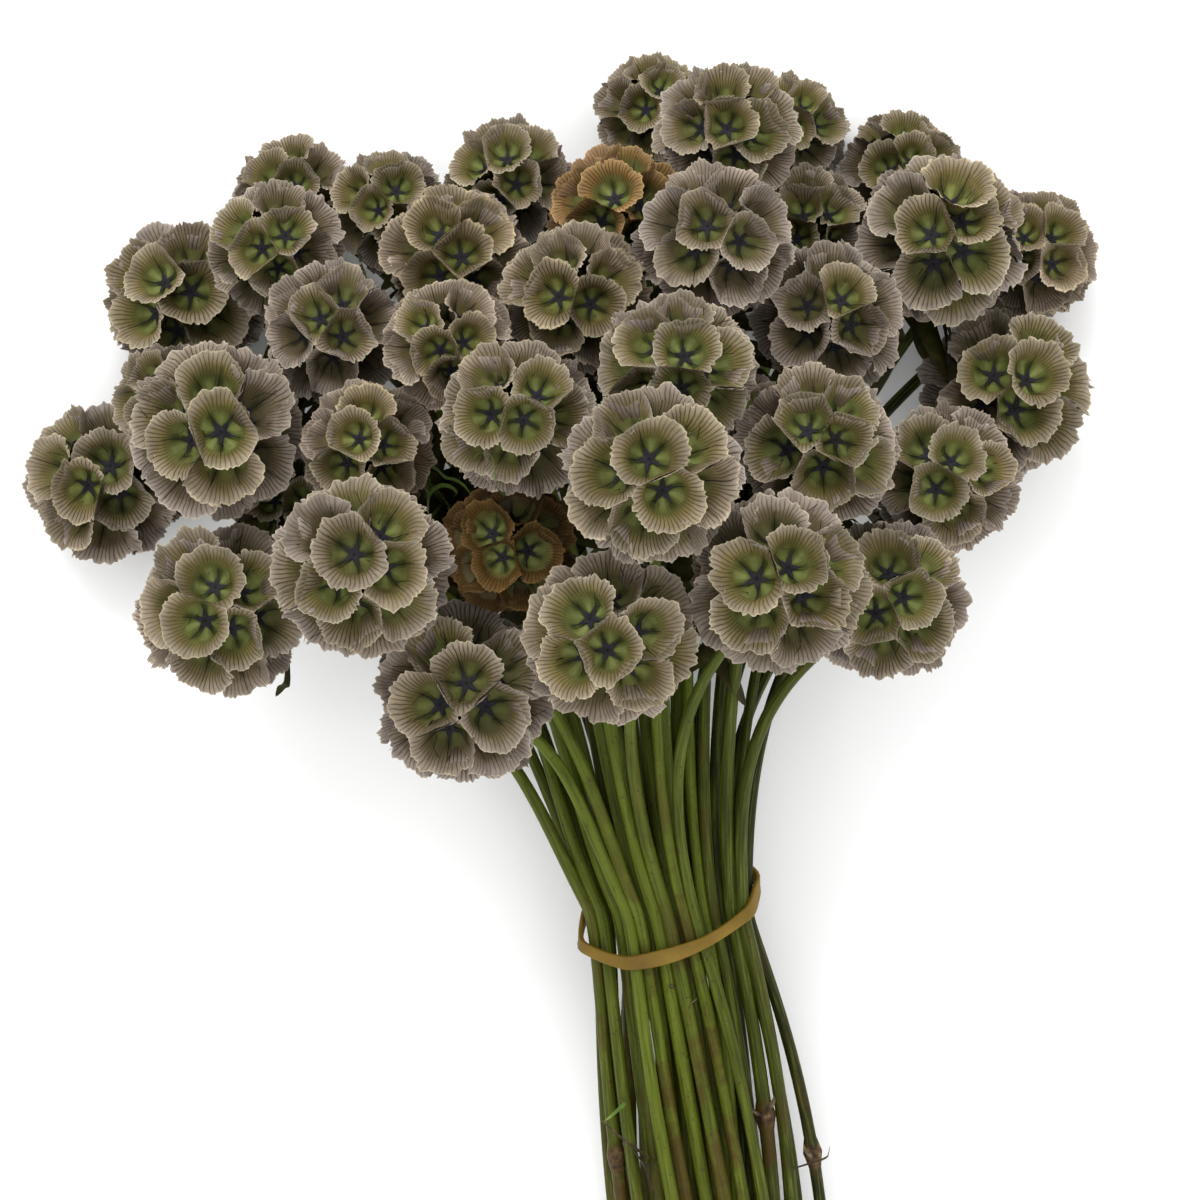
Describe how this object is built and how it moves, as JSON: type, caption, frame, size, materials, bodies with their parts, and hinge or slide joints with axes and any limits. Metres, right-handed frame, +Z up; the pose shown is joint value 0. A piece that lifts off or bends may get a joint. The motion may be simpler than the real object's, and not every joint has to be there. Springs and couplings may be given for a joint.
{
  "type": "starflower scabiosa bunch",
  "caption": "Tied bunch of starflower scabiosa: round seed heads of papery funnel cups on slender green stems, held by a flat rubber band, lying down.",
  "frame": {"origin": "under the middle of the bunch's box, on the surface it lies on", "axes": "+Y along the stems towards the heads, +Z up, +X to the right seen from above with the heads at the top"},
  "size_m": [0.2156, 0.3016, 0.1164],
  "materials": {
    "papery": "matt dry papery cups, beige with green and dark stars",
    "brown_papery": "matt dry papery cups, orange brown",
    "stem": "smooth satin green stem with brown specks",
    "band": "satin ochre rubber"
  },
  "bodies": {
    "root": {"head_01": "papery", "head_02": "papery", "head_03": "papery", "head_04": "papery", "head_05": "papery", "head_06": "papery", "head_07": "papery", "head_08": "papery", "head_09": "brown_papery", "head_10": "papery", "head_11": "papery", "head_12": "papery", "head_13": "papery", "head_14": "papery", "head_15": "papery", "head_16": "papery", "head_17": "papery", "head_18": "papery", "head_19": "papery", "head_20": "papery", "head_21": "papery", "head_22": "papery", "head_23": "papery", "head_24": "papery", "head_25": "papery", "head_26": "papery", "head_27": "papery", "head_28": "papery", "head_29": "papery", "head_30": "brown_papery", "head_31": "papery", "head_32": "papery", "head_33": "papery", "head_34": "papery", "head_35": "papery", "head_36": "papery", "head_37": "papery", "head_38": "papery", "stems_01": "stem", "stems_02": "stem", "stems_03": "stem", "stems_04": "stem", "stems_05": "stem", "stems_06": "stem", "stems_07": "stem", "stems_08": "stem", "stems_09": "stem", "stems_10": "stem", "stems_11": "stem", "stems_12": "stem", "stems_13": "stem", "stems_14": "stem", "stems_15": "stem", "stems_16": "stem", "stems_17": "stem", "stems_18": "stem", "stems_19": "stem", "rubber_band": "band"}
  },
  "joints": []
}
